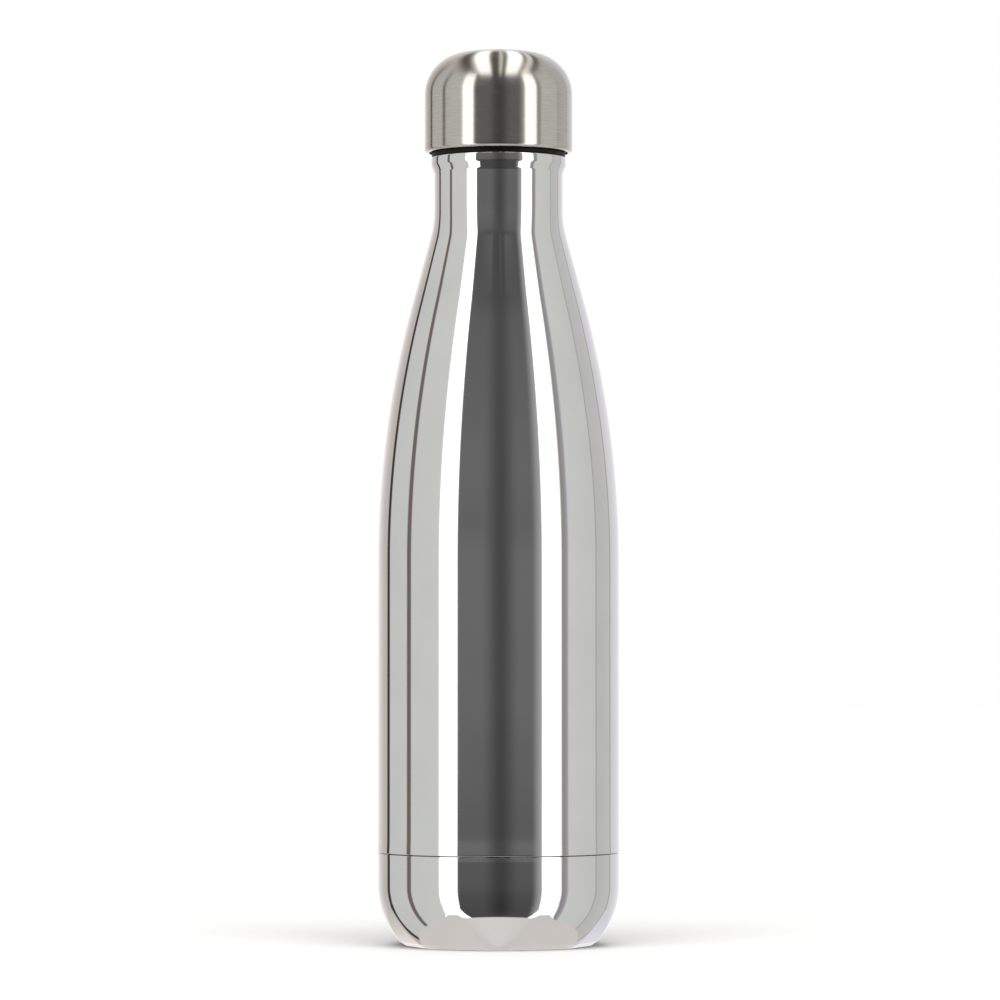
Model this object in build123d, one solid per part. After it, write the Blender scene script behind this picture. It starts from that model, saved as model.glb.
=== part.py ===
from build123d import *
import math
import os

# Double-wall vacuum bottle with a screw cap. Sizes are in millimetres. z = 0 is the surface the
# bottle stands on, +Z is its axis and -Y is its front. A section is drawn as (r, z), where r is
# the distance from the axis, and is then turned about the axis.

# Outer wall, from the bottom up
body_radius = 35.0
shell_wall = 0.4
seam_height = 26.9          # middle of the groove between the base cup and the shell
seam_gap = 0.25             # how wide that groove is
seam_flare = 0.15           # how far the shell's lower edge stands out
seam_flare_height = 5.0
shell_lip_round = 0.15      # rounding of the groove's upper edge
cup_lip_round = 0.12         # rounding of its lower edge
body_top = 111.0            # where the straight side ends and the shoulder starts
shoulder_height = 102.3
shoulder_steepness = 1.723  # slope of the shoulder's cone over the shoulder's mean slope
hollow_radius = 30.3        # hollow arc that leads from the cone into the neck
neck_radius = 18.7
neck_height = 10.15
bead_height = 5.25          # from the end of the neck to the rim of the mouth
bead_reach = 0.92           # how far the bead stands out from the neck
throat_round = 2.2          # radius of the two arcs that lead from the neck out to the bead
throat_lean = 21.5          # steepest slope between them, in degrees
rim_round = 0.5             # rounding of the bead's top edge

# Base cup
cup_wall = 0.5
cup_step = 0.07             # how much smaller the cup is than the shell
spigot_height = 3.5         # the cup's collar that fits inside the shell
weld_fit = 0.1              # radial gap between parts that slide together to be welded
rounding_height = 17.4      # where the cup's side starts to round under
rounding_radius = 24.0
bevel_height = 1.25         # the crease above the foot
foot_inset = 8.1            # how far the foot's edge lies inside the cup's side
foot_width = 4.3            # flat ring that stands on the surface
flat_count = 8
flat_top = 11.2             # highest point of each pressed flat
flat_radius = 23.4          # each flat still curves this much from top to bottom
flat_depth = 0.97           # how deep a flat is at the crease
flat_foot_depth = 1.2       # how deep a flat is at the foot
recess_depth = 3.0
recess_round = 0.8
dimple_radius = 3.5         # evacuation dimple in the middle of the recess
dimple_depth = 1.4
hole_radius = 0.8
solder_round = 2.8
solder_sag = 1.1
cover_thickness = 0.4
cover_fit = 0.2             # radial gap between the cover and the recess's rounded corner
bond_gap = 0.1              # thickness of an adhesive layer

# Getter, a tablet in a clip on the vacuum side of the base cup
getter_radius = 4.7
getter_height = 1.8
clip_wall = 0.3
clip_fit = 0.1
clip_height = 2.2

# Inner wall
liner_wall = 0.4
vacuum_gap = 3.6            # between the walls of the body
neck_gap = 2.5              # between the walls of the neck
mouth_roll = 1.5            # the liner's edge rolls out over the mouth with this radius
liner_foot = 15.0           # where the liner's side ends and its bottom is welded on
liner_corner = 6.0
liner_dome = 0.9            # how much higher the liner's bottom is in the middle
bottom_wall = 0.4
foil_thickness = 0.05
foil_gap = 0.1              # between a foil and the wall that it lies against
foil_margin = 0.5           # how far the wrapped foil stops short of the liner's ends
foil_disc_margin = 1.0      # how far the foil disc stops short of the liner's corner

# Two-start thread between the neck and the stopper
thread_starts = 2
thread_lead = 8.0
thread_height = 1.0
thread_clearance = 0.4      # from a crest to the wall it faces
thread_lead_in = 4.7        # from the stopper's foot to where the middle of its ridge begins
thread_lead_out = 4.8       # from where the middle of the ridge ends to the rim
stopper_ridge = (2.2, 1.2)  # width of a ridge at its root and at its crest
neck_ridge = (1.8, 1.0)
ridge_root = 0.2            # how deep a ridge is sunk in its wall

# Stopper, seal and cap
plug_length = 19.5          # how far the stopper reaches below the rim
plug_wall = 2.0
plug_round = 1.5
gland_step = 0.8            # the gland carries the seal and stands out this far from the plug
gland_drop = 0.6            # how far the gland reaches below the rim
seal_thickness = 1.5
seal_bore_fit = 0.25
seal_setback = 0.22         # how far the seal's edge lies inside the bead's
flange_thickness = 2.0
flange_fit = 0.1
foam_fit = 0.1
lid_thickness = 1.2
lid_spigot = 1.0
lid_overlap = 1.6           # how far the lid reaches over the edge of the plug's hollow
cap_wall = 0.5
cap_overhang = 1.87         # how far the cap stands out from the bead
cap_height = 30.0
cap_corner = 12.2
cap_crown = 61.4
hem_round = 1.0             # outside radius of the cap's turned-in lower edge
hem_width = 0.3             # flat end of the hem, beyond its rounding
hem_overlap = 0.2           # how far the hem hangs below the flange
liner_cup_wall = 1.2
ledge_width = 2.6           # ledge in the cap's liner that the flange is welded to
ledge_thickness = 1.5

# Places and radii worked out from the sizes above
neck_foot = body_top + shoulder_height
neck_top = neck_foot + neck_height
rim = neck_top + bead_height
bead_radius = neck_radius + bead_reach
cup_radius = body_radius - cup_step
cup_lip = seam_height - seam_gap / 2
shell_lip = seam_height + seam_gap / 2
spigot_radius = body_radius - shell_wall - weld_fit
foot_radius = cup_radius - foot_inset
recess_radius = foot_radius - foot_width
getter_offset = (dimple_radius + recess_radius) / 2
liner_radius = body_radius - shell_wall - vacuum_gap
liner_neck_radius = neck_radius - shell_wall - neck_gap
weld_radius = liner_neck_radius + mouth_roll
bore_radius = liner_neck_radius - liner_wall
plug_crest = bore_radius - thread_clearance
plug_radius = plug_crest - thread_height
plug_hollow = plug_radius - plug_wall
plug_foot = rim - plug_length
gland_radius = plug_radius + gland_step
thread_foot = plug_foot + thread_lead_in
thread_rise = plug_length - thread_lead_in - thread_lead_out
flange_foot = rim + seal_thickness
flange_top = flange_foot + flange_thickness
cap_radius = bead_radius + cap_overhang
cap_foot = flange_foot - hem_overlap
cap_top = cap_foot + cap_height
liner_cup_radius = cap_radius - cap_wall - bond_gap
flange_radius = liner_cup_radius - liner_cup_wall - flange_fit


def turned(section):
    """The solid that a section drawn as (r, z) sweeps about the bottle's axis."""
    return Rot(90, 0, 0) * revolve(section, Axis.Y, 360)


def face_of(*lines):
    return make_face([edge for line in lines for edge in line.edges()])


def region(*points):
    """A straight-sided section."""
    return make_face(Polyline(*points, close=True))


def ring(inner, outer, low, high):
    """A plain ring, or a disc where inner is 0."""
    return turned(region((inner, low), (outer, low), (outer, high), (inner, high)))


def on_arc(centre, radius, degrees):
    return (
        centre[0] + radius * math.cos(math.radians(degrees)),
        centre[1] + radius * math.sin(math.radians(degrees)),
    )


def direction(start, end):
    return math.degrees(math.atan2(end[1] - start[1], end[0] - start[0]))


def arc(centre, radius, start, end):
    return CenterArc(centre, radius, start, end - start)


def rounded(section, point, radius):
    """The section with its corner nearest to the point rounded."""
    corner = section.vertices().sort_by_distance(Vector(point))[0]
    return fillet(corner, radius)


def shoulder(low_radius, high_radius, inset):
    """The shoulder's line from the straight side to the neck: a long crown arc, a cone and a
    short hollow arc, each tangent to the next. inset is how far inside the outer face it runs."""
    drop = low_radius - high_radius
    slope = math.atan(shoulder_steepness * drop / shoulder_height)
    s, c = math.sin(slope), math.cos(slope)
    hollow = hollow_radius + inset
    across, along = drop - hollow * (1 - c), shoulder_height - hollow * s
    crown = (s * along - c * across) / (1 - c)
    crown_centre = (low_radius - crown, body_top)
    hollow_centre = (high_radius + hollow, neck_foot)
    lean = math.degrees(slope)
    return [
        arc(crown_centre, crown, 0, lean),
        Line(on_arc(crown_centre, crown, lean), on_arc(hollow_centre, hollow, 180 + lean)),
        arc(hollow_centre, hollow, 180 + lean, 180),
    ]


def shell_line(inset):
    """The outer wall's line, from its lower lip to its weld at the mouth."""
    side, neck = body_radius - inset, neck_radius - inset
    flare_arc = (seam_flare_height**2 + seam_flare**2) / (2 * seam_flare)
    flare = arc(
        (side + inset + flare_arc, shell_lip + seam_flare_height),
        flare_arc + inset,
        180 + math.degrees(math.asin(seam_flare_height / flare_arc)),
        180,
    )
    s, c = math.sin(math.radians(throat_lean)), math.cos(math.radians(throat_lean))
    cone = (bead_reach - 2 * throat_round * (1 - c)) / s
    bead_foot = neck_top + 2 * throat_round * s + cone * c
    throat_centre = (neck_radius + throat_round, neck_top)
    throat = arc(throat_centre, throat_round + inset, 180, 180 - throat_lean)
    swell_centre = (bead_radius - throat_round, bead_foot)
    swell = arc(swell_centre, throat_round - inset, -throat_lean, 0)
    rim_corner = (bead_radius - rim_round, rim - rim_round)
    return [
        flare,
        Line(flare @ 1, (side, body_top)),
        *shoulder(side, neck, inset),
        Line((neck, neck_foot), (neck, neck_top)),
        throat,
        Line(throat @ 1, swell @ 0),
        swell,
        Line(swell @ 1, (bead_radius - inset, rim_corner[1])),
        arc(rim_corner, rim_round - inset, 0, 90),
        Line((rim_corner[0], rim - inset), (weld_radius, rim - inset)),
    ]


def outer_shell():
    outside, inside = shell_line(0), shell_line(shell_wall)
    section = face_of(
        *outside,
        Line(outside[-1] @ 1, inside[-1] @ 1),
        *inside,
        Line(inside[0] @ 0, outside[0] @ 0),
    )
    return turned(rounded(section, outside[0] @ 0, shell_lip_round))


def cup_side(inset):
    """Half section of all that the base cup's outer face encloses, or of its hollow when inset
    by the wall."""
    centre = (cup_radius - rounding_radius, rounding_height)
    radius = rounding_radius - inset
    crease_angle = -math.degrees(math.asin((rounding_height - bevel_height) / rounding_radius))
    crease = on_arc(centre, rounding_radius, crease_angle)
    bevel = math.radians(direction((foot_radius, 0), crease))
    foot = (foot_radius - inset * math.tan(bevel / 2), inset)
    side = arc(centre, radius, crease_angle, 0)
    top = cup_lip + spigot_height
    return face_of(
        Line((0, inset), foot),
        Line(foot, side @ 0),
        side,
        Polyline(
            side @ 1,
            (cup_radius - inset, cup_lip - inset),
            (spigot_radius - inset, cup_lip - inset),
            (spigot_radius - inset, top),
            (0, top),
            (0, inset),
        ),
    )


def flat_tool(inset):
    """Block that presses one flat and the bevel below it, facing +X. The flat is straight across
    and curves gently from top to bottom."""
    centre = (cup_radius - rounding_radius, rounding_height)
    top = on_arc(
        centre,
        rounding_radius,
        -math.degrees(math.asin((rounding_height - flat_top) / rounding_radius)),
    )
    crease_angle = -math.asin((rounding_height - bevel_height) / rounding_radius)
    crease = (centre[0] + rounding_radius * math.cos(crease_angle) - flat_depth, bevel_height)
    chord = math.dist(top, crease)
    middle = ((top[0] + crease[0]) / 2, (top[1] + crease[1]) / 2)
    depth = math.sqrt(flat_radius**2 - (chord / 2) ** 2)
    across = math.radians(direction(crease, top) + 90)
    bend = (middle[0] + depth * math.cos(across), middle[1] + depth * math.sin(across))
    run_out = 8  # degrees that the curve runs on past the cup's side
    face = arc(bend, flat_radius - inset, direction(bend, crease), direction(bend, top) + run_out)
    flat_foot = foot_radius - flat_foot_depth
    bevel = math.radians(direction((flat_foot, 0), crease))
    foot = (flat_foot - inset * math.tan(bevel / 2), inset)
    outer, below = 2 * body_radius, -1.0
    section = face_of(
        face,
        Polyline(face @ 1, (outer, (face @ 1).Y), (outer, below), (foot[0], below), foot, face @ 0),
    )
    return extrude(Rot(90, 0, 0) * section, amount=body_radius, both=True)


def recess(inset):
    """The hollow under the base with its dimple, or its vacuum side when inset by the wall."""
    low = -1.0
    outline = region(
        (0, low),
        (recess_radius + inset, low),
        (recess_radius + inset, recess_depth + inset),
        (dimple_radius + inset, recess_depth + inset),
        (dimple_radius + inset, recess_depth + dimple_depth + inset),
        (0, recess_depth + dimple_depth + inset),
    )
    corner = (recess_radius + inset, recess_depth + inset)
    return turned(rounded(outline, corner, recess_round + inset))


def base_cup():
    def pressed(inset):
        """One face of the cup, with its flats."""
        solid = turned(cup_side(inset))
        for i in range(flat_count):
            solid -= Rot(0, 0, (i + 0.5) * 360 / flat_count - 90) * flat_tool(inset)
        return solid - recess(inset)

    cup = pressed(0) - pressed(cup_wall)
    web_top = recess_depth + dimple_depth + cup_wall
    cup -= ring(0, hole_radius, recess_depth, web_top + 1)
    lip = cup.edges().filter_by(GeomType.CIRCLE).sort_by(
        lambda e: abs(e.radius - cup_radius) + abs(e.center().Z - cup_lip)
    )[0]
    return fillet(lip, cup_lip_round)


def solder_seal():
    """Drop of solder glass that closes the evacuation hole and hangs in the dimple."""
    ceiling = recess_depth + dimple_depth
    sphere = (solder_round**2 + solder_sag**2) / (2 * solder_sag)
    centre = (0, ceiling - solder_sag + sphere)
    edge = direction(centre, (solder_round, ceiling))
    plug = hole_radius - weld_fit
    drop = face_of(
        arc(centre, sphere, -90, edge),
        Polyline(
            (solder_round, ceiling),
            (plug, ceiling),
            (plug, ceiling + cup_wall),
            (0, ceiling + cup_wall),
            (0, ceiling - solder_sag),
        ),
    )
    return turned(drop)


def base_cover():
    top = recess_depth - bond_gap
    radius = recess_radius - recess_round - cover_fit
    disc = ring(0, radius, top - cover_thickness, top)
    return chamfer(disc.edges().group_by(Axis.Z)[0], cover_thickness / 3)


def getter_holder():
    floor = recess_depth + cup_wall
    bore = getter_radius + clip_fit
    clip = ring(0, bore + clip_wall, floor, floor + clip_height)
    clip -= ring(0, bore, floor + clip_wall, floor + clip_height + 1)
    return Pos(getter_offset, 0, 0) * clip


def getter():
    floor = recess_depth + cup_wall + clip_wall
    tablet = ring(0, getter_radius, floor, floor + getter_height)
    return Pos(getter_offset, 0, 0) * chamfer(tablet.edges().group_by(Axis.Z)[-1], clip_wall)


def liner_line(inset):
    """The inner wall's line, from its bottom weld to its weld at the mouth."""
    side, neck = liner_radius - inset, liner_neck_radius - inset
    roll_centre = (weld_radius, rim - liner_wall - mouth_roll)
    return [
        Line((side, liner_foot), (side, body_top)),
        *shoulder(side, neck, inset),
        Line((neck, neck_foot), (neck, roll_centre[1])),
        arc(roll_centre, mouth_roll + inset, 180, 90),
    ]


def helical_ridge(radius, widths, height, foot, start):
    """A thread's ridge that stands out from a wall of this radius, or in where height is
    negative. foot is the height of the ridge's middle at its beginning."""
    root, crest = widths
    sign = math.copysign(1, height)
    sunk = radius - sign * ridge_root
    profile = Plane(origin=(radius, 0, 0), x_dir=(1, 0, 0), z_dir=(0, 1, 0)) * region(
        (sunk - radius, -root / 2),
        (0, -root / 2),
        (height, -crest / 2),
        (height, crest / 2),
        (0, root / 2),
        (sunk - radius, root / 2),
    )
    path = Helix(thread_lead, thread_rise, radius)
    ridge = sweep(profile, path, is_frenet=True)
    return Pos(0, 0, foot) * Rot(0, 0, start) * ridge


def inner_liner():
    vacuum_side, wet_side = liner_line(0), liner_line(liner_wall)
    wall = turned(
        face_of(
            *vacuum_side,
            Line(vacuum_side[-1] @ 1, wet_side[-1] @ 1),
            *wet_side,
            Line(wet_side[0] @ 0, vacuum_side[0] @ 0),
        )
    )
    half_pitch = thread_lead / thread_starts / 2
    for i in range(thread_starts):
        wall += helical_ridge(
            bore_radius, neck_ridge, -thread_height, thread_foot + half_pitch,
            i * 360 / thread_starts,
        )
    return wall


def bottom_dome(rise, margin=0):
    """The shallow dome of the liner's bottom, from its middle to margin short of its corner.
    rise is how far above the bottom's outer face it lies."""
    low = liner_foot - liner_corner
    flat = liner_radius - liner_corner
    sphere = (flat**2 + liner_dome**2) / (2 * liner_dome)
    edge = math.degrees(math.acos((flat - margin) / sphere))
    return arc((0, low + liner_dome - sphere), sphere + rise, 90, edge)


def liner_bottom():
    """Domed bottom with a rounded corner, welded to the foot of the liner."""
    corner = (liner_radius - liner_corner, liner_foot)
    under, over = bottom_dome(0), bottom_dome(bottom_wall)
    outside = arc(corner, liner_corner, -90, 0)
    inside = arc(corner, liner_corner - bottom_wall, -90, 0)
    return turned(
        face_of(
            under,
            outside,
            Line(outside @ 1, inside @ 1),
            inside,
            Line(inside @ 0, over @ 1),
            over,
            Line(over @ 0, under @ 0),
        )
    )


def copper_foil():
    inner = liner_radius + foil_gap
    return ring(inner, inner + foil_thickness, liner_foot + foil_margin, body_top - foil_margin)


def foil_disc():
    over = bottom_dome(-foil_gap, foil_disc_margin)
    under = bottom_dome(-foil_gap - foil_thickness, foil_disc_margin)
    return turned(face_of(over, Line(over @ 1, under @ 1), under, Line(under @ 0, over @ 0)))


def seal_ring():
    bore = gland_radius + seal_bore_fit
    return ring(bore, bead_radius - seal_setback, rim, flange_foot)


def stopper():
    body = region(
        (0, plug_foot),
        (plug_radius, plug_foot),
        (plug_radius, rim - gland_drop),
        (gland_radius, rim - gland_drop),
        (gland_radius, flange_foot),
        (flange_radius, flange_foot),
        (flange_radius, flange_top),
        (plug_hollow, flange_top),
        (plug_hollow, plug_foot + plug_wall),
        (0, plug_foot + plug_wall),
    )
    plug = turned(rounded(body, (plug_radius, plug_foot), plug_round))
    for i in range(thread_starts):
        plug += helical_ridge(
            plug_radius, stopper_ridge, thread_height, thread_foot, i * 360 / thread_starts
        )
    return plug


def stopper_foam():
    return ring(0, plug_hollow - foam_fit, plug_foot + plug_wall, flange_top - lid_spigot)


def stopper_lid():
    lid = ring(0, plug_hollow + lid_overlap, flange_top, flange_top + lid_thickness)
    return lid + ring(0, plug_hollow - foam_fit, flange_top - lid_spigot, flange_top)


def dome_line(inset):
    """The cap's line from where its side is straight to the middle of its top."""
    corner, crown = cap_corner - inset, cap_crown - inset
    corner_radius = cap_radius - cap_corner
    drop = math.sqrt((cap_crown - cap_corner) ** 2 - corner_radius**2)
    crown_centre = (0, cap_top - cap_crown)
    corner_centre = (corner_radius, crown_centre[1] + drop)
    meet = direction(crown_centre, corner_centre)
    return [arc(corner_centre, corner, 0, meet), arc(crown_centre, crown, meet, 90)]


def cap_shell():
    """Brushed dome, with its lower edge turned in as a hem."""
    outside, inside = dome_line(0), dome_line(cap_wall)
    bend = (cap_radius - hem_round, cap_foot + hem_round)
    hem_end = bend[0] - hem_width
    outer_bend = arc(bend, hem_round, -90, 0)
    inner_bend = arc(bend, hem_round - cap_wall, 0, -90)
    return turned(
        face_of(
            outer_bend,
            Line(outer_bend @ 1, outside[0] @ 0),
            *outside,
            Line(outside[-1] @ 1, inside[-1] @ 1),
            *inside,
            Line(inside[0] @ 0, inner_bend @ 0),
            inner_bend,
            Polyline(
                inner_bend @ 1,
                (hem_end, cap_foot + cap_wall),
                (hem_end, cap_foot),
                outer_bend @ 0,
            ),
        )
    )


def cap_liner():
    """Moulded cup bonded inside the dome, with the ledge that the stopper's flange meets."""
    outer = cap_wall + bond_gap
    outside, inside = dome_line(outer), dome_line(outer + liner_cup_wall)
    foot = cap_foot + hem_round + bond_gap
    side = (outside[0] @ 0).X
    inner_side = side - liner_cup_wall
    ledge = inner_side - ledge_width
    return turned(
        face_of(
            Line((side, foot), outside[0] @ 0),
            *outside,
            Line(outside[-1] @ 1, inside[-1] @ 1),
            *inside,
            Polyline(
                inside[0] @ 0,
                (inner_side, flange_top + ledge_thickness),
                (ledge, flange_top + ledge_thickness),
                (ledge, flange_top),
                (inner_side, flange_top),
                (inner_side, foot),
                (side, foot),
            ),
        )
    )


pieces = [
    outer_shell,
    base_cup,
    base_cover,
    solder_seal,
    getter_holder,
    getter,
    inner_liner,
    liner_bottom,
    copper_foil,
    foil_disc,
    cap_shell,
    cap_liner,
    stopper,
    stopper_foam,
    stopper_lid,
    seal_ring,
]

os.makedirs("parts", exist_ok=True)
for piece in pieces:
    solid = piece()
    export_step(solid, f"parts/{piece.__name__}.step")
    print(f"{piece.__name__}: {solid.volume:.1f} mm3")
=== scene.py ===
from math import acos, asin, atan, atan2, ceil, cos, degrees, dist, hypot, radians, sin, sqrt, tan, tau

import bmesh
import bpy
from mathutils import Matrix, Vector


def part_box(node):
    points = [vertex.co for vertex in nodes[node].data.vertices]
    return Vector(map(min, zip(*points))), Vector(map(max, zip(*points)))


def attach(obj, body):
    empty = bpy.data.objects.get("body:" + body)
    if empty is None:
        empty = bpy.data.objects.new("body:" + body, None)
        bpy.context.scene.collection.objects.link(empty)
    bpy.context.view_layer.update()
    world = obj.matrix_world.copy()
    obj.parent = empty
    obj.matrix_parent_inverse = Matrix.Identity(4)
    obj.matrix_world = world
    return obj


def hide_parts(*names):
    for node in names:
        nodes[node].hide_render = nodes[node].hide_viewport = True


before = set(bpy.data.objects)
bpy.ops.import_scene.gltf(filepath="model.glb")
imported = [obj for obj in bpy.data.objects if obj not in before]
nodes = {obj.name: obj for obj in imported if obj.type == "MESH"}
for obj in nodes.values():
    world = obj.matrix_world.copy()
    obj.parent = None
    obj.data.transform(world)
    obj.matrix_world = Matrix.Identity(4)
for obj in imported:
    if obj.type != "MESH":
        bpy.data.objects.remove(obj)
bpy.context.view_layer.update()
mm = 0.001  # outlines below are in mm, meshes in metres
sameSpot = 1e-4  # in mm; points closer than this are one
hardEdge = 40  # in degrees; an edge that turns by more stays sharp
print("frame loaded,", len(nodes), "CAD nodes")


def boxOf(node):
    # lowest z, highest z and outer radius of a round node, in mm
    low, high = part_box(node)
    return low[2] / mm, high[2] / mm, high[0] / mm


# Outlines, drawn as (r, z) and turned about the bottle's axis

def arcRun(centre, radius, start, end, step):
    # along an arc between two angles in degrees, with points at most step apart
    count = max(2, ceil(radians(abs(end - start)) * radius / step))
    angles = [radians(start + (end - start) * i / count) for i in range(count + 1)]
    return [(centre[0] + radius * cos(a), centre[1] + radius * sin(a)) for a in angles]


def straightRun(start, end, step):
    count = max(1, ceil(dist(start, end) / step))
    return [tuple(a + (b - a) * i / count for a, b in zip(start, end)) for i in range(count + 1)]


def slopeOf(start, end):
    return degrees(atan2(end[1] - start[1], end[0] - start[0]))


def turnedPiece(name, runs, steps, closed=True, shape=None):
    # spins the joined runs into one mesh; an open line starts and ends on the axis
    line = []
    for point in (p for run in runs for p in run):
        if not line or dist(line[-1], point) > sameSpot:
            line.append(point)
    if closed and dist(line[0], line[-1]) < sameSpot:
        line.pop()
    bm = bmesh.new()
    verts = [bm.verts.new((r * mm, 0, z * mm)) for r, z in line]
    pairs = zip(verts, verts[1:] + verts[:1]) if closed else zip(verts, verts[1:])
    edges = [bm.edges.new(pair) for pair in pairs]
    bmesh.ops.spin(
        bm, geom=verts + edges, axis=(0, 0, 1), cent=(0, 0, 0), angle=tau, steps=steps, use_merge=True
    )
    bmesh.ops.remove_doubles(bm, verts=bm.verts, dist=sameSpot * mm)
    if shape:
        shape(bm)
    bmesh.ops.recalc_face_normals(bm, faces=bm.faces)
    return pieceFrom(bm, name)


def pieceFrom(bm, name):
    # smooth faces, with a hard edge wherever the surface turns sharply
    for face in bm.faces:
        face.smooth = True
    for edge in bm.edges:
        edge.smooth = edge.calc_face_angle(0) < radians(hardEdge)
    mesh = bpy.data.meshes.new(name)
    bm.to_mesh(mesh)
    bm.free()
    piece = bpy.data.objects.new(name, mesh)
    bpy.context.scene.collection.objects.link(piece)
    return piece


# Shader nodes

def linear(hexCode):
    # sRGB hex to the linear colour that a shader takes
    channels = [int(hexCode[i:i + 2], 16) / 255 for i in (1, 3, 5)]
    return tuple(c / 12.92 if c < 0.04045 else ((c + 0.055) / 1.055) ** 2.4 for c in channels) + (1,)


def addNode(tree, kind, inputs=None, stops=None, **settings):
    # one shader node: settings are its own properties, inputs are values or other nodes' sockets
    node = tree.nodes.new("ShaderNode" + kind)
    for key, value in settings.items():
        setattr(node, key, value)
    for key, value in (inputs or {}).items():
        if isinstance(value, bpy.types.NodeSocket):
            tree.links.new(value, node.inputs[key])
        else:
            node.inputs[key].default_value = value
    if stops:
        ramp = node.color_ramp
        while len(ramp.elements) < len(stops):
            ramp.elements.new(1.0)
        for element, (place, colour) in zip(ramp.elements, stops):
            element.position = place
            element.color = colour if isinstance(colour, tuple) else linear(colour)
    return node


def newMaterial(name):
    material = bpy.data.materials.new(name)
    material.use_nodes = True
    tree = material.node_tree
    tree.nodes.clear()
    return material, tree


def finishWith(tree, surface):
    addNode(tree, "OutputMaterial", {"Surface": surface.outputs[0]})


# Outer shell: hydroformed steel tube, mirror polished after welding

shell = {
    "wall": 0.4,
    "lipRound": 0.15,
    "flare": 0.15,
    "flareHeight": 5.0,
    "bodyRadius": 35.0,
    "bodyTop": 111.0,
    "shoulderHeight": 102.3,
    "steepness": 1.723,
    "hollowRadius": 30.3,
    "neckRadius": 18.7,
    "neckHeight": 10.15,
    "beadReach": 0.92,
    "throatRound": 2.2,
    "throatLean": 21.5,       # steepest slope between the neck and the bead, in degrees
    "rimRound": 0.5,
    "weldRadius": 17.3,
    "rowStep": 1.2,           # height of the mesh's rows on the outside
    "insideRowStep": 6.0,
    "sideStretch": 3,         # how much taller the rows of the straight side are
    "beadFineness": 8,        # how much shorter the rows round the bead are
    "steps": 256,
}


def shoulderRuns(inset, step):
    # crown arc, cone and hollow arc from the straight side to the neck
    low, high = shell["bodyRadius"] - inset, shell["neckRadius"] - inset
    top = shell["bodyTop"] + shell["shoulderHeight"]
    slope = atan(shell["steepness"] * (low - high) / shell["shoulderHeight"])
    hollow = shell["hollowRadius"] + inset
    across = low - high - hollow * (1 - cos(slope))
    along = shell["shoulderHeight"] - hollow * sin(slope)
    crown = (sin(slope) * along - cos(slope) * across) / (1 - cos(slope))
    lean = degrees(slope)
    crownRun = arcRun((low - crown, shell["bodyTop"]), crown, 0, lean, step)
    hollowRun = arcRun((high + hollow, top), hollow, 180 + lean, 180, step)
    return [crownRun, straightRun(crownRun[-1], hollowRun[0], step), hollowRun]


def shellRuns(inset, step):
    lip, rim, _ = boxOf("outer_shell")
    side, neck = shell["bodyRadius"] - inset, shell["neckRadius"] - inset
    neckTop = shell["bodyTop"] + shell["shoulderHeight"] + shell["neckHeight"]
    flareArc = (shell["flareHeight"] ** 2 + shell["flare"] ** 2) / (2 * shell["flare"])
    flareEnd = 180 + degrees(asin(shell["flareHeight"] / flareArc))
    flareRun = arcRun(
        (side + inset + flareArc, lip + shell["flareHeight"]), flareArc + inset, flareEnd, 180, step
    )
    lean, bend = shell["throatLean"], shell["throatRound"]
    fineStep = step / shell["beadFineness"]
    swing = bend * (1 - cos(radians(lean)))
    cone = (shell["beadReach"] - 2 * swing) / sin(radians(lean))
    beadFoot = neckTop + 2 * bend * sin(radians(lean)) + cone * cos(radians(lean))
    bead = shell["neckRadius"] + shell["beadReach"]
    corner = (bead - shell["rimRound"], rim - shell["rimRound"])
    return [
        flareRun,
        straightRun(flareRun[-1], (side, shell["bodyTop"]), shell["sideStretch"] * step),
        *shoulderRuns(inset, step),
        straightRun((neck, neckTop - shell["neckHeight"]), (neck, neckTop), step),
        arcRun((shell["neckRadius"] + bend, neckTop), bend + inset, 180, 180 - lean, fineStep),
        arcRun((bead - bend, beadFoot), bend - inset, -lean, 0, fineStep),
        arcRun(corner, shell["rimRound"] - inset, 0, 90, fineStep),
        straightRun((corner[0], rim - inset), (shell["weldRadius"], rim - inset), step),
    ]


def makeOuterShell():
    outside = shellRuns(0, shell["rowStep"])
    inside = shellRuns(shell["wall"], shell["insideRowStep"])
    foot, _, widest = boxOf("outer_shell")
    rounding = shell["lipRound"]
    lipRun = arcRun((widest - rounding, foot + rounding), rounding, -90, 0, rounding / 5)
    outside[0] = lipRun + [p for p in outside[0] if p[0] < widest and p[1] > foot + rounding]
    backwards = [run[::-1] for run in inside[::-1]]
    return turnedPiece("outerShell", outside + backwards, shell["steps"])


# Base cup: pressed steel bottom with eight flats in its rounding, polished with the shell

cup = {
    "wall": 0.5,
    "step": 0.07,
    "gap": 0.25,
    "lipRound": 0.12,
    "collarHeight": 3.5,
    "collarFit": 0.1,
    "roundingHeight": 17.4,
    "roundingRadius": 24.0,
    "bevelHeight": 1.25,
    "footInset": 8.1,
    "footWidth": 4.3,
    "footRound": 0.3,
    "flats": 8,
    "flatTop": 11.2,
    "flatRadius": 23.4,
    "flatDepth": 0.97,
    "flatFootDepth": 1.2,
    "creaseWidth": 0.45,      # width of the soft crease round each flat
    "recessDepth": 3.0,
    "recessRound": 0.8,
    "dimpleRadius": 3.5,
    "dimpleDepth": 1.4,
    "dimpleRound": 0.4,
    "holeRadius": 0.8,
    "rowStep": 0.25,          # height of the mesh's rows where the flats are
    "sideRowStep": 1.5,       # and of those on the side and the inside
    "footRowStep": 1.0,       # width of the rows on the ring that it stands on
    "columns": 24,            # columns of the mesh in half a flat's sector
    "creaseColumn": 14,       # the column that follows the flat's edge
    "easeHeight": 6.0,        # over this height above a flat the columns spread out again
    "leastAngle": 2.5,        # how near its middle, in degrees, a flat's edge column may come
}


def cupRadius():
    return shell["bodyRadius"] - cup["step"]


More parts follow.
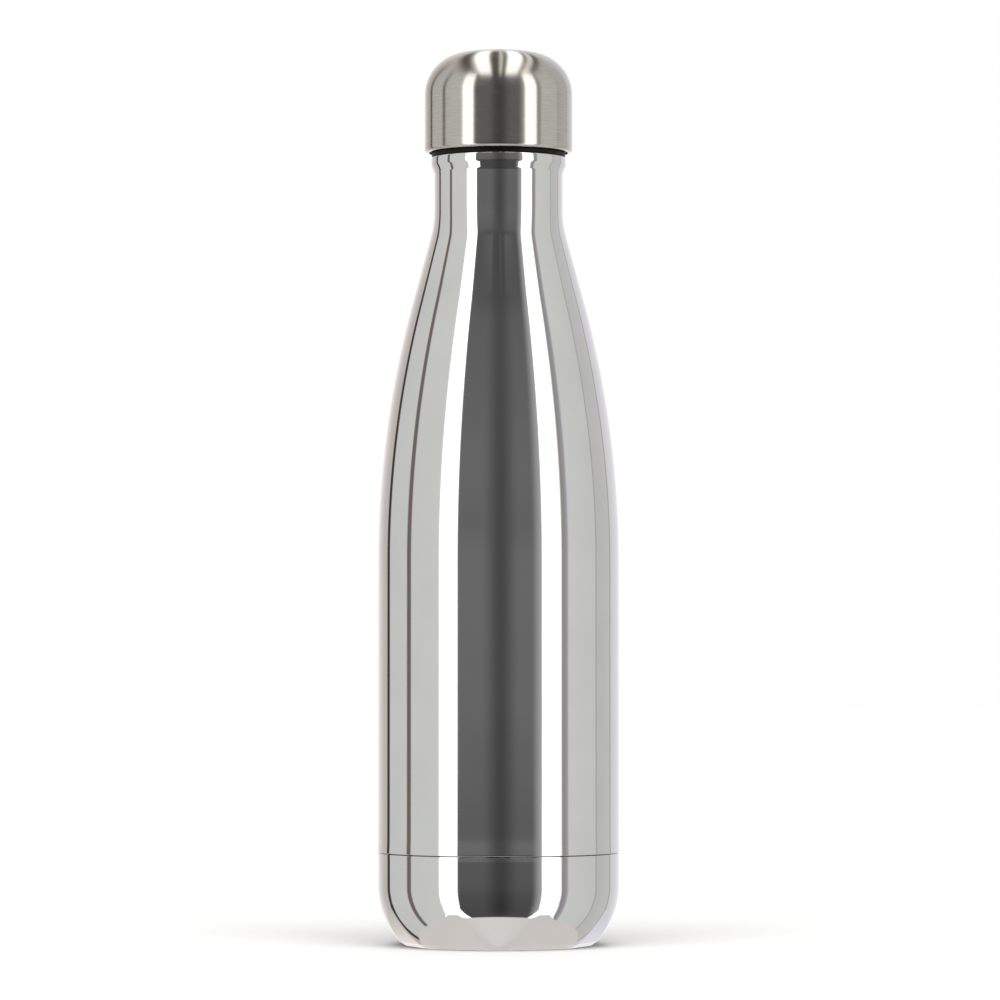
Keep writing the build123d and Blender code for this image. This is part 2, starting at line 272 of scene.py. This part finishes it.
def cupCrease():
    # where the rounding meets the bevel above the foot
    centre = (cupRadius() - cup["roundingRadius"], cup["roundingHeight"])
    angle = -asin((cup["roundingHeight"] - cup["bevelHeight"]) / cup["roundingRadius"])
    point = (centre[0] + cup["roundingRadius"] * cos(angle), cup["bevelHeight"])
    return centre, degrees(angle), point


def flatLine():
    # radius of a flat's middle at a height, and of the bevel below it
    centre, _, crease = cupCrease()
    rise = cup["flatTop"] - centre[1]
    top = (centre[0] + sqrt(cup["roundingRadius"] ** 2 - rise ** 2), cup["flatTop"])
    low = (crease[0] - cup["flatDepth"], crease[1])
    middle = Vector(((top[0] + low[0]) / 2, (top[1] + low[1]) / 2))
    across = Vector((low[1] - top[1], top[0] - low[0])).normalized()
    bend = middle + across * sqrt(cup["flatRadius"] ** 2 - (dist(top, low) / 2) ** 2)
    foot = cupRadius() - cup["footInset"] - cup["flatFootDepth"]

    def radiusAt(z):
        if z < low[1]:
            return foot + (low[0] - foot) * z / low[1]
        return bend.x + sqrt(cup["flatRadius"] ** 2 - (z - bend.y) ** 2)

    return radiusAt


def wallRadius(z):
    # radius of the cup's round side at a height
    centre, _, crease = cupCrease()
    foot = cupRadius() - cup["footInset"]
    if z < crease[1]:
        return foot + (crease[0] - foot) * z / crease[1]
    if z < centre[1]:
        return centre[0] + sqrt(cup["roundingRadius"] ** 2 - (centre[1] - z) ** 2)
    return cupRadius()


def pressFlats(bm):
    # slides the mesh's columns onto the flats' edges, then pushes what lies in a flat inwards
    flatRadiusAt = flatLine()
    sector = tau / cup["flats"]
    half, columns, edgeColumn = sector / 2, cup["columns"], cup["creaseColumn"]
    easeHeight, leastAngle = cup["easeHeight"], radians(cup["leastAngle"])
    footRadius = cupRadius() - cup["footInset"] - cup["footWidth"]
    for vert in bm.verts:
        z = vert.co.z / mm
        radius = hypot(vert.co.x, vert.co.y) / mm
        outer = wallRadius(max(z, 0))
        depth = outer - radius  # how far inside the outer face this vertex lies
        if z > cup["flatTop"] + easeHeight or radius < footRadius + cup["footRound"]:
            continue
        flat = flatRadiusAt(min(max(z, 0), cup["flatTop"]))
        edge = acos(min(1, flat / outer)) if z < cup["flatTop"] else 0
        edge = max(edge, leastAngle)
        if z > cup["flatTop"]:
            share = (z - cup["flatTop"]) / easeHeight
            edge += (half * edgeColumn / columns - edge) * share * share * (3 - 2 * share)
        angle = atan2(vert.co.y, vert.co.x)
        middle = (round(angle / sector - 0.5) + 0.5) * sector
        off = angle - middle
        column = round(abs(off) / half * columns)
        crease = cup["creaseWidth"] / 2 / outer
        if column <= edgeColumn:
            moved = (edge - crease) * column / edgeColumn
        else:
            rest = (column - edgeColumn - 1) / (columns - edgeColumn - 1)
            moved = edge + crease + (half - edge - crease) * rest
        limit = flat / cos(moved) if z < cup["flatTop"] else outer
        turned = middle + (moved if off > 0 else -moved)
        pressed = min(outer, limit) - depth
        vert.co.x, vert.co.y = pressed * mm * cos(turned), pressed * mm * sin(turned)


def makeBaseCup():
    wall, step, sideStep = cup["wall"], cup["rowStep"], cup["sideRowStep"]
    centre, creaseAngle, crease = cupCrease()
    lip = boxOf("outer_shell")[0] - cup["gap"]
    radius = cupRadius()
    collar = shell["bodyRadius"] - shell["wall"] - cup["collarFit"]
    collarTop = lip + cup["collarHeight"]
    foot = radius - cup["footInset"]
    recess = foot - cup["footWidth"]
    ceiling, rounding = cup["recessDepth"], cup["recessRound"]
    dimple, dimpleTop = cup["dimpleRadius"], cup["recessDepth"] + cup["dimpleDepth"]
    innerFoot = foot - wall * tan(radians(slopeOf((foot, 0), crease)) / 2)
    footRound, dimpleRound, lipRound = cup["footRound"], cup["dimpleRound"], cup["lipRound"]
    outside = [
        arcRun((recess + footRound, footRound), footRound, 180, 270, footRound / 3),
        straightRun((recess + footRound, 0), (foot, 0), cup["footRowStep"]),
        straightRun((foot, 0), crease, step),
        arcRun(centre, cup["roundingRadius"], creaseAngle, 0, step),
        straightRun((radius, centre[1]), (radius, lip - lipRound), sideStep),
        arcRun((radius - lipRound, lip - lipRound), lipRound, 0, 90, lipRound / 3),
        [(collar, lip), (collar, collarTop), (collar - wall, collarTop), (collar - wall, lip - wall)],
        [(radius - wall, lip - wall)],
    ]
    inside = [
        arcRun(centre, cup["roundingRadius"] - wall, 0, creaseAngle, sideStep),
        [(innerFoot, wall), (recess + wall, wall)],
        arcRun((recess - rounding, ceiling - rounding), rounding + wall, 0, 90, rounding / 2),
        [(dimple + wall, ceiling + wall), (dimple + wall, dimpleTop + wall)],
        [(cup["holeRadius"], dimpleTop + wall), (cup["holeRadius"], dimpleTop)],
        [(dimple, dimpleTop)],
        arcRun((dimple + dimpleRound, ceiling + dimpleRound), dimpleRound, 180, 270, dimpleRound / 3),
        arcRun((recess - rounding, ceiling - rounding), rounding, 90, 0, rounding / 4),
    ]
    return turnedPiece(
        "baseCup", outside + inside, 2 * cup["columns"] * cup["flats"], shape=pressFlats
    )


# Cap shell: spun steel dome, its hem turned in, brushed round and round on a lathe

cap = {
    "wall": 0.5,
    "corner": 12.2,
    "crown": 61.4,
    "hemRound": 1.0,
    "hemWidth": 0.3,
    "rowStep": 0.5,
    "steps": 256,
}


def domeRuns(inset, step):
    _, top, radius = boxOf("cap_shell")
    corner, crown = cap["corner"] - inset, cap["crown"] - inset
    drop = sqrt((cap["crown"] - cap["corner"]) ** 2 - (radius - cap["corner"]) ** 2)
    crownCentre = (0, top - cap["crown"])
    cornerCentre = (radius - cap["corner"], crownCentre[1] + drop)
    meet = slopeOf(crownCentre, cornerCentre)
    return [
        arcRun(cornerCentre, corner, 0, meet, step),
        arcRun(crownCentre, crown, meet, 90, 1.5 * step),
    ]


def makeCapShell():
    foot, _, radius = boxOf("cap_shell")
    step, wall, hem = cap["rowStep"], cap["wall"], cap["hemRound"]
    outside, inside = domeRuns(0, step), domeRuns(wall, 3 * step)
    bend = (radius - hem, foot + hem)
    hemEnd = bend[0] - cap["hemWidth"]
    outerBend = arcRun(bend, hem, -90, 0, hem / 6)
    innerBend = arcRun(bend, hem - wall, 0, -90, hem / 3)
    runs = [
        *[run[::-1] for run in outside[::-1]],
        straightRun(outside[0][0], outerBend[-1], 2 * step),
        outerBend[::-1],
        [(hemEnd, foot), (hemEnd, foot + wall)],
        innerBend[::-1],
        *inside,
    ]
    return turnedPiece("capShell", runs, cap["steps"], closed=False)


# Seal: moulded silicone ring between the stopper's flange and the mouth

seal = {"bore": 15.05, "edgeRound": 0.3, "steps": 160}


def makeSealRing():
    low, high, radius = boxOf("seal_ring")
    edge = seal["edgeRound"]
    corners = [
        ((radius - edge, low + edge), -90), ((radius - edge, high - edge), 0),
        ((seal["bore"] + edge, high - edge), 90), ((seal["bore"] + edge, low + edge), 180),
    ]
    runs = [arcRun(centre, edge, start, start + 90, edge / 4) for centre, start in corners]
    return turnedPiece("sealRing", runs, seal["steps"])


outerShell = makeOuterShell()
baseCup = makeBaseCup()
capShell = makeCapShell()
sealRing = makeSealRing()
for piece, node, body, slotName in (
    (outerShell, "outer_shell", "bottle", "polished_steel"),
    (baseCup, "base_cup", "bottle", "polished_steel"),
    (capShell, "cap_shell", "cap", "brushed_steel"),
    (sealRing, "seal_ring", "seal", "silicone"),
):
    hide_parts(node)
    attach(piece, body)
    print("made", piece.name, len(piece.data.polygons), "faces")


# Materials

# painted shade: a thin dark band drawn into the polished steel's colour along the weld's groove
seamShadeBand = {"height": 26.9, "halfWidth": 0.14, "tone": "#57534f"}  # sizes in mm


def polishedSteel():
    # 304 stainless, buffed to a mirror: sharp reflections that waver a little with the thin wall
    # behind them, hair-fine buffing marks round the body and the odd duller patch; in the weld's
    # groove the steel's colour is darkened, a painted shade for the groove
    material, tree = newMaterial("mirrorPolishedSteel")
    place = addNode(tree, "TexCoord").outputs["Object"]
    waver = addNode(tree, "TexNoise", {"Vector": place, "Scale": 1 / (22 * mm), "Detail": 1.0})
    buffed = addNode(tree, "Mapping", {"Vector": place, "Scale": (0.02, 0.02, 1.0)})
    buffing = addNode(
        tree, "TexNoise", {"Vector": buffed.outputs[0], "Scale": 1 / (0.5 * mm), "Detail": 3.0}
    )
    haze = addNode(tree, "TexNoise", {"Vector": place, "Scale": 1 / (14 * mm), "Detail": 4.0})
    roughness = addNode(
        tree, "MapRange",
        {"Value": haze.outputs[0], "From Min": 0.35, "From Max": 0.7, "To Min": 0.035, "To Max": 0.06},
    )
    tint = addNode(
        tree, "ValToRGB", {"Fac": haze.outputs[0]}, stops=[(0.3, "#d0cfcc"), (0.7, "#cccbc8")]
    )
    height = addNode(tree, "SeparateXYZ", {"Vector": place}).outputs["Z"]
    # painted shade: where the height lies in the weld's groove, the steel's tint is swapped for a dark
    # tone
    inShadedSeam = addNode(
        tree, "Math", {0: height, 1: seamShadeBand["height"] * mm, 2: seamShadeBand["halfWidth"] * mm},
        operation="COMPARE",
    )
    metal = addNode(tree, "Mix", {
        "Factor": inShadedSeam.outputs[0], "A": tint.outputs[0], "B": linear(seamShadeBand["tone"]),
    }, data_type="RGBA")
    wave = addNode(tree, "Bump", {"Strength": 1.0, "Distance": 0.004 * mm, "Height": waver.outputs[0]})
    marks = addNode(tree, "Bump", {
        "Strength": 1.0, "Distance": 0.00006 * mm, "Height": buffing.outputs[0],
        "Normal": wave.outputs[0],
    })
    finishWith(tree, addNode(tree, "BsdfPrincipled", {
        "Base Color": metal.outputs["Result"], "Metallic": 1.0, "Roughness": roughness.outputs[0],
        "Normal": marks.outputs[0],
    }))
    return material


def brushedSteel():
    # 304 stainless, brushed on a lathe with a fine belt: the lines run round the axis, so light
    # spreads up and down the dome and stays narrow from side to side
    material, tree = newMaterial("latheBrushedSteel")
    place = addNode(tree, "TexCoord").outputs["Object"]
    axes = addNode(tree, "SeparateXYZ", {"Vector": place})
    across = addNode(tree, "Math", {0: axes.outputs["X"], 1: axes.outputs["X"]}, operation="MULTIPLY")
    square = addNode(
        tree, "Math", {0: axes.outputs["Y"], 1: axes.outputs["Y"], 2: across.outputs[0]},
        operation="MULTIPLY_ADD",
    )
    radius = addNode(tree, "Math", {0: square.outputs[0], 1: 0.5}, operation="POWER")
    angle = addNode(tree, "Math", {0: axes.outputs["Y"], 1: axes.outputs["X"]}, operation="ARCTAN2")
    height = addNode(tree, "Math", {0: axes.outputs["Z"], 1: radius.outputs[0]}, operation="SUBTRACT")
    turn = addNode(tree, "Math", {0: angle.outputs[0], 1: 0.0012}, operation="MULTIPLY")
    lines = addNode(tree, "CombineXYZ", {"X": turn.outputs[0], "Y": height.outputs[0]})
    grain = addNode(
        tree, "TexNoise", {"Vector": lines.outputs[0], "Scale": 1 / (0.3 * mm), "Detail": 3.0}
    )
    roughness = addNode(
        tree, "MapRange",
        {"Value": grain.outputs[0], "From Min": 0.3, "From Max": 0.7, "To Min": 0.18, "To Max": 0.21},
    )
    tint = addNode(
        tree, "ValToRGB", {"Fac": grain.outputs[0]}, stops=[(0.3, "#b0aca4"), (0.7, "#bdb9b1")]
    )
    bump = addNode(tree, "Bump", {"Strength": 0.5, "Distance": 0.0012 * mm, "Height": grain.outputs[0]})
    brush = addNode(tree, "Tangent", direction_type="RADIAL", axis="Z")
    finishWith(tree, addNode(tree, "BsdfPrincipled", {
        "Base Color": tint.outputs[0], "Metallic": 1.0, "Roughness": roughness.outputs[0],
        "Anisotropic": 0.9, "Anisotropic Rotation": 0.25, "Tangent": brush.outputs[0],
        "Normal": bump.outputs[0],
    }))
    return material


def satinSteel():
    # 304 stainless as it leaves the press, pickled and not polished: grey, soft and a little cloudy
    material, tree = newMaterial("pickledSteel")
    place = addNode(tree, "TexCoord").outputs["Object"]
    cloud = addNode(tree, "TexNoise", {"Vector": place, "Scale": 1 / (6 * mm), "Detail": 5.0})
    grit = addNode(tree, "TexNoise", {"Vector": place, "Scale": 1 / (0.25 * mm), "Detail": 2.0})
    roughness = addNode(
        tree, "MapRange",
        {"Value": cloud.outputs[0], "From Min": 0.3, "From Max": 0.7, "To Min": 0.26, "To Max": 0.38},
    )
    tint = addNode(
        tree, "ValToRGB", {"Fac": cloud.outputs[0]}, stops=[(0.3, "#b6b5b2"), (0.7, "#c2c1be")]
    )
    bump = addNode(tree, "Bump", {"Strength": 0.4, "Distance": 0.003 * mm, "Height": grit.outputs[0]})
    finishWith(tree, addNode(tree, "BsdfPrincipled", {
        "Base Color": tint.outputs[0], "Metallic": 1.0, "Roughness": roughness.outputs[0],
        "Normal": bump.outputs[0],
    }))
    return material


def copperFoil():
    # rolled copper foil, wrapped by hand: bright salmon, lightly creased
    material, tree = newMaterial("rolledCopperFoil")
    place = addNode(tree, "TexCoord").outputs["Object"]
    crease = addNode(tree, "TexNoise", {"Vector": place, "Scale": 1 / (9 * mm), "Detail": 6.0})
    tint = addNode(
        tree, "ValToRGB", {"Fac": crease.outputs[0]}, stops=[(0.3, "#e39a7c"), (0.7, "#f0b095")]
    )
    bump = addNode(tree, "Bump", {"Strength": 0.6, "Distance": 0.1 * mm, "Height": crease.outputs[0]})
    finishWith(tree, addNode(tree, "BsdfPrincipled", {
        "Base Color": tint.outputs[0], "Metallic": 1.0, "Roughness": 0.24, "Normal": bump.outputs[0],
    }))
    return material


def solderGlass():
    # lead-free solder glass, melted into the dimple: almost black and glossy
    material, tree = newMaterial("meltedSolderGlass")
    place = addNode(tree, "TexCoord").outputs["Object"]
    flow = addNode(tree, "TexNoise", {"Vector": place, "Scale": 1 / (1.2 * mm), "Detail": 3.0})
    tint = addNode(
        tree, "ValToRGB", {"Fac": flow.outputs[0]}, stops=[(0.3, "#23272a"), (0.7, "#3a3f42")]
    )
    bump = addNode(tree, "Bump", {"Strength": 0.4, "Distance": 0.05 * mm, "Height": flow.outputs[0]})
    finishWith(tree, addNode(tree, "BsdfPrincipled", {
        "Base Color": tint.outputs[0], "Roughness": 0.08, "IOR": 1.7, "Normal": bump.outputs[0],
    }))
    return material


def getterAlloy():
    # zirconium alloy powder pressed into a tablet: dark, dull and grainy
    material, tree = newMaterial("pressedGetterPowder")
    place = addNode(tree, "TexCoord").outputs["Object"]
    grain = addNode(tree, "TexVoronoi", {"Vector": place, "Scale": 1 / (0.3 * mm)})
    tint = addNode(
        tree, "ValToRGB", {"Fac": grain.outputs[0]}, stops=[(0.0, "#4a4a49"), (0.8, "#6b6a68")]
    )
    bump = addNode(tree, "Bump", {"Strength": 0.7, "Distance": 0.05 * mm, "Height": grain.outputs[0]})
    finishWith(tree, addNode(tree, "BsdfPrincipled", {
        "Base Color": tint.outputs[0], "Metallic": 0.6, "Roughness": 0.75, "Normal": bump.outputs[0],
    }))
    return material


def mouldedPlastic():
    # black polypropylene from a lightly sparked mould: soft sheen with a fine even texture
    material, tree = newMaterial("mouldedPolypropylene")
    place = addNode(tree, "TexCoord").outputs["Object"]
    spark = addNode(tree, "TexNoise", {"Vector": place, "Scale": 1 / (0.2 * mm), "Detail": 2.0})
    flow = addNode(tree, "TexNoise", {"Vector": place, "Scale": 1 / (8 * mm), "Detail": 2.0})
    roughness = addNode(
        tree, "MapRange",
        {"Value": flow.outputs[0], "From Min": 0.3, "From Max": 0.7, "To Min": 0.36, "To Max": 0.48},
    )
    tint = addNode(
        tree, "ValToRGB", {"Fac": flow.outputs[0]}, stops=[(0.3, "#141414"), (0.7, "#1b1b1c")]
    )
    bump = addNode(tree, "Bump", {"Strength": 0.5, "Distance": 0.01 * mm, "Height": spark.outputs[0]})
    finishWith(tree, addNode(tree, "BsdfPrincipled", {
        "Base Color": tint.outputs[0], "Roughness": roughness.outputs[0], "IOR": 1.49,
        "Normal": bump.outputs[0],
    }))
    return material


def plasticFoam():
    # polyurethane foam poured into the plug: cream, open and matt
    material, tree = newMaterial("pouredPolyurethaneFoam")
    place = addNode(tree, "TexCoord").outputs["Object"]
    cells = addNode(tree, "TexVoronoi", {"Vector": place, "Scale": 1 / (0.5 * mm)})
    tint = addNode(
        tree, "ValToRGB", {"Fac": cells.outputs[0]}, stops=[(0.0, "#cfc6ab"), (0.7, "#ece6d2")]
    )
    bump = addNode(tree, "Bump", {"Strength": 0.8, "Distance": 0.15 * mm, "Height": cells.outputs[0]})
    finishWith(tree, addNode(tree, "BsdfPrincipled", {
        "Base Color": tint.outputs[0], "Roughness": 0.9, "IOR": 1.45, "Normal": bump.outputs[0],
    }))
    return material


def siliconeRubber():
    # compression-moulded silicone: black, matt, with a slight dusty bloom
    material, tree = newMaterial("mouldedSilicone")
    place = addNode(tree, "TexCoord").outputs["Object"]
    bloom = addNode(tree, "TexNoise", {"Vector": place, "Scale": 1 / (2.5 * mm), "Detail": 4.0})
    tint = addNode(
        tree, "ValToRGB", {"Fac": bloom.outputs[0]}, stops=[(0.35, "#040404"), (0.75, "#0a0a0a")]
    )
    roughness = addNode(
        tree, "MapRange",
        {"Value": bloom.outputs[0], "From Min": 0.3, "From Max": 0.7, "To Min": 0.5, "To Max": 0.62},
    )
    bump = addNode(tree, "Bump", {"Strength": 0.3, "Distance": 0.02 * mm, "Height": bloom.outputs[0]})
    finishWith(tree, addNode(tree, "BsdfPrincipled", {
        "Base Color": tint.outputs[0], "Roughness": roughness.outputs[0], "IOR": 1.4,
        "Specular IOR Level": 0.3, "Normal": bump.outputs[0],
    }))
    return material


polished, brushed, satin = polishedSteel(), brushedSteel(), satinSteel()
copper, plastic, silicone = copperFoil(), mouldedPlastic(), siliconeRubber()
finishes = {
    "outer_shell": polished, "base_cup": polished, "base_cover": satin, "solder_seal": solderGlass(),
    "getter_holder": satin, "getter": getterAlloy(), "inner_liner": satin, "liner_bottom": satin,
    "copper_foil": copper, "foil_disc": copper, "cap_shell": brushed, "cap_liner": plastic,
    "stopper": plastic, "stopper_foam": plasticFoam(), "stopper_lid": plastic, "seal_ring": silicone,
}
for name, material in finishes.items():
    nodes[name].data.materials.clear()
    nodes[name].data.materials.append(material)
for piece, material in (
    (outerShell, polished), (baseCup, polished), (capShell, brushed), (sealRing, silicone),
):
    piece.data.materials.append(material)
print("materials assigned")


# Studio: what surrounds the bottle, as directions seen from it

studio = {
    "gain": 2.6,
    "steelTone": "#cecdca",   # what polished steel gives back of white light
    "softness": 0.7,          # half width of a card's edge, in degrees
    "tableEdge": -39.5,       # elevation below which steel shows the table
    "darkCardMiddle": 1.2,
    "darkCardHalf": 40.7,
    "darkCardCorner": -24.6,  # elevation below which the dark card narrows
    "darkCardNarrowing": 9.0,
    "canopyEdge": 41.0,
    "canopyReach": 0.55,      # half width of the canopy's opening, over its height
    "canopyTaper": -0.32,     # how the opening narrows towards the back
    "canopySoftness": 7.0,    # half width of the canopy's own edge, in degrees
    "lowestHeight": 0.4,      # these two only keep the canopy's divisors away from zero
    "leastReach": 0.1,
    "canopySpan": 3.0,        # how far its tones below run to each side
    # what stands round the bottle, and the table: each tone at its azimuth, in degrees to the
    # right of the front
    "cards": [
        (-180, "#dcd9d6"), (-160, "#cfc9c4"), (-150, "#c0bab5"), (-140, "#b3aca7"),
        (-133.2, "#b3aca7"), (-132.4, "#3a3532"), (-127.6, "#3a3532"), (-126.8, "#bcbcba"),
        (-98.2, "#c2c2bf"), (-97.4, "#6a5f5a"), (-92.2, "#6a5f5a"), (-91.4, "#c2c3bf"),
        (-58.7, "#c4c5c0"), (-57.5, "#ffffff"), (61.3, "#ffffff"), (62.4, "#8a7d76"),
        (66, "#8f8a8c"), (69.6, "#9a9aa6"), (70.4, "#c4c5c0"), (106.6, "#bebfbb"),
        (107.2, "#4a4643"), (107.9, "#b4b4b2"), (132.7, "#b8b7b5"), (133.5, "#7a7370"),
        (134.3, "#c4c2c4"), (165, "#cccbd0"), (180, "#dcd9d6"),
    ],
    "table": [
        (-180, "#c8c2bd"), (-75, "#c8c3bf"), (-45, "#c6c2be"), (-15, "#cfcdca"),
        (15, "#cfcdca"), (45, "#c6c2be"), (75, "#c8c3bf"), (180, "#c8c2bd"),
    ],
    # the dark card, from its foot up: its middle and its sides, at each elevation
    "darkMiddle": [
        (-90, "#3c3c3c"), (-38, "#3c3c3c"), (-28, "#313131"), (-10, "#373737"), (-3, "#3c3c3c"),
        (-1, "#454545"), (12, "#474747"), (31, "#4a4a4a"), (35, "#444444"), (90, "#434343"),
    ],
    "darkSides": [
        (-90, "#464646"), (-30, "#474747"), (-10, "#4c4c4c"), (-3, "#505050"), (-1, "#646464"),
        (1, "#676767"), (5, "#616161"), (12, "#646464"), (31, "#5b5b5b"), (35, "#4d4d4d"),
        (90, "#4b4b4b"),
    ],
    "darkMiddleAt": 2.0,
    "darkMiddleHalf": 19.0,
    "rightSheen": (31.0, 42.0, "#9c9c9c"),  # where the card's right side catches light
    # the canopy's tones, each at its place across the opening, whose edges are at -1 and 1
    "canopy": [
        (-3, "#c4c0ba"), (-1.9, "#bdb8b1"), (-1.45, "#8a857e"), (-1.25, "#57514b"),
        (-0.98, "#57514b"), (-0.8, "#c0bcb5"), (-0.7, "#ffffff"), (-0.3, "#ffffff"),
        (-0.22, "#57514b"), (0, "#57514b"), (0.05, "#e8e6e1"), (0.1, "#e8e6e1"),
        (0.15, "#57514b"), (0.22, "#57514b"), (0.3, "#ffffff"), (0.7, "#ffffff"),
        (0.8, "#7a746d"), (0.9, "#7a746d"), (0.98, "#f0eee9"), (1.16, "#f0eee9"),
        (1.25, "#57514b"), (1.45, "#57514b"), (1.8, "#b9b5ae"), (3, "#c4c0ba"),
    ],
}


def cardColour(tone):
    # tones are as the steel shows them; white cards are the lamps and stay at full strength
    colour = linear(tone)
    if tone == "#ffffff":
        return colour
    steel = linear(studio["steelTone"])
    return tuple(c / k / studio["gain"] for c, k in zip(colour[:3], steel)) + (1,)


def toneRamp(tree, key, place, reach):
    # reach is how far the ramp runs to each side, as the place counts it and as the tones do
    across = addNode(tree, "MapRange", {"Value": place, "From Min": -reach[0], "From Max": reach[0]})
    stops = [((spot + reach[1]) / (2 * reach[1]), cardColour(tone)) for spot, tone in studio[key]]
    return addNode(tree, "ValToRGB", {"Fac": across.outputs[0]}, stops=stops).outputs[0]


def over(tree, below, above, distance, softness):
    # lays one tone over another wherever the distance is positive
    share = addNode(tree, "MapRange", {
        "Value": distance, "From Min": -softness, "From Max": softness,
    }, interpolation_type="SMOOTHSTEP")
    mix = addNode(
        tree, "Mix", {"Factor": share.outputs[0], "A": below, "B": above}, data_type="RGBA"
    )
    return mix.outputs["Result"]


def buildStudio():
    world = bpy.data.worlds.new("studio")
    bpy.context.scene.world = world
    world.use_nodes = True
    tree = world.node_tree
    tree.nodes.clear()

    def maths(operation, *values):
        return addNode(tree, "Math", dict(enumerate(values)), operation=operation).outputs[0]

    ray = addNode(tree, "SeparateXYZ", {"Vector": addNode(tree, "TexCoord").outputs["Generated"]})
    x, y, z = ray.outputs
    azimuth = maths("ARCTAN2", x, maths("MULTIPLY", y, -1.0))
    elevation = maths("ARCSINE", z)
    circle = (radians(180), 180)
    cards = toneRamp(tree, "cards", azimuth, circle)
    table = toneRamp(tree, "table", azimuth, circle)
    darkMiddle = toneRamp(tree, "darkMiddle", elevation, (radians(90), 90))
    darkSides = toneRamp(tree, "darkSides", elevation, (radians(90), 90))
    fromMiddle = maths("ABSOLUTE", maths("SUBTRACT", azimuth, radians(studio["darkMiddleAt"])))
    half = radians(studio["darkMiddleHalf"]) / 2
    darkCard = over(tree, darkMiddle, darkSides, maths("SUBTRACT", fromMiddle, half), half)
    low, high, sheenTone = studio["rightSheen"]
    sheen = cardColour(sheenTone)
    fromSheen = maths("SUBTRACT", azimuth, radians((low + high) / 2))
    darkCard = over(tree, darkCard, sheen, fromSheen, radians(high - low) / 2)
    fall = addNode(tree, "MapRange", {
        "Value": elevation, "From Min": radians(studio["darkCardCorner"]),
        "From Max": radians(studio["tableEdge"]),
    }).outputs[0]
    narrowing = maths("MULTIPLY", maths("MULTIPLY", fall, fall), -radians(studio["darkCardNarrowing"]))
    halfWidth = maths("ADD", narrowing, radians(studio["darkCardHalf"]))
    off = maths("ABSOLUTE", maths("SUBTRACT", azimuth, radians(studio["darkCardMiddle"])))
    soft = radians(studio["softness"])
    mixed = over(tree, cards, darkCard, maths("SUBTRACT", halfWidth, off), soft)
    mixed = over(tree, mixed, table, maths("SUBTRACT", radians(studio["tableEdge"]), elevation), soft)
    height = maths("MAXIMUM", z, studio["lowestHeight"])
    back = maths("DIVIDE", y, height)
    reach = maths("MULTIPLY_ADD", back, studio["canopyTaper"], studio["canopyReach"])
    reach = maths("MAXIMUM", reach, studio["leastReach"])
    across = maths("DIVIDE", maths("DIVIDE", x, height), reach)
    span = studio["canopySpan"]
    canopy = toneRamp(tree, "canopy", across, (span, span))
    rise = maths("SUBTRACT", elevation, radians(studio["canopyEdge"]))
    mixed = over(tree, mixed, canopy, rise, radians(studio["canopySoftness"]))
    seen = addNode(tree, "LightPath").outputs["Is Camera Ray"]
    around = addNode(tree, "Background", {"Color": mixed, "Strength": studio["gain"]})
    backdrop = addNode(tree, "Background", {"Color": (1, 1, 1, 1), "Strength": 1.0})
    both = addNode(tree, "MixShader", {0: seen, 1: around.outputs[0], 2: backdrop.outputs[0]})
    addNode(tree, "OutputWorld", {"Surface": both.outputs[0]})


sweep = {"halfSide": 6.0, "segments": 8}  # the half side is in metres


def buildFloor():
    # a white sweep; steel shows the studio's own table tone instead of it
    material, tree = newMaterial("whiteSweep")
    place = addNode(tree, "TexCoord").outputs["Object"]
    fibre = addNode(tree, "TexNoise", {"Vector": place, "Scale": 1 / (3 * mm), "Detail": 3.0})
    tint = addNode(
        tree, "ValToRGB", {"Fac": fibre.outputs[0]}, stops=[(0.3, "#b0b0af"), (0.7, "#b3b3b2")]
    )
    paper = addNode(tree, "BsdfPrincipled", {"Base Color": tint.outputs[0], "Roughness": 0.9})
    finishWith(tree, paper)
    bm = bmesh.new()
    count = sweep["segments"]
    bmesh.ops.create_grid(bm, x_segments=count, y_segments=count, size=sweep["halfSide"])
    floor = pieceFrom(bm, "studioFloor")
    floor.data.materials.append(material)
    floor.visible_glossy = False


# spread and tilt are in degrees; it shines from above and from the front
skylight = {"strength": 5.0, "spread": 60.0, "tilt": 30.0}


def buildLights():
    lamp = bpy.data.lights.new("skylight", "SUN")
    lamp.energy = skylight["strength"]
    lamp.angle = radians(skylight["spread"])
    light = bpy.data.objects.new("skylight", lamp)
    bpy.context.scene.collection.objects.link(light)
    light.rotation_euler = (radians(skylight["tilt"]), 0, 0)
    light.visible_glossy = False


# in mm, with the tilt in degrees
cameraSpot = {
    "side": 0.43, "away": 1447.0, "height": 86.3, "tiltUp": 1.69, "lens": 179.4, "sensor": 36.0,
    "near": 50.0, "far": 50000.0,
}


def buildCamera():
    lens = bpy.data.cameras.new("camera")
    lens.sensor_width = cameraSpot["sensor"]
    lens.lens = cameraSpot["lens"]
    lens.clip_start, lens.clip_end = cameraSpot["near"] * mm, cameraSpot["far"] * mm
    camera = bpy.data.objects.new("camera", lens)
    bpy.context.scene.collection.objects.link(camera)
    camera.location = (
        cameraSpot["side"] * mm, -cameraSpot["away"] * mm, cameraSpot["height"] * mm
    )
    camera.rotation_euler = (radians(90 + cameraSpot["tiltUp"]), 0, 0)
    bpy.context.scene.camera = camera


buildStudio()
buildFloor()
buildLights()
buildCamera()
bpy.context.scene.view_settings.view_transform = "Standard"
print("studio, floor, lights and camera placed")
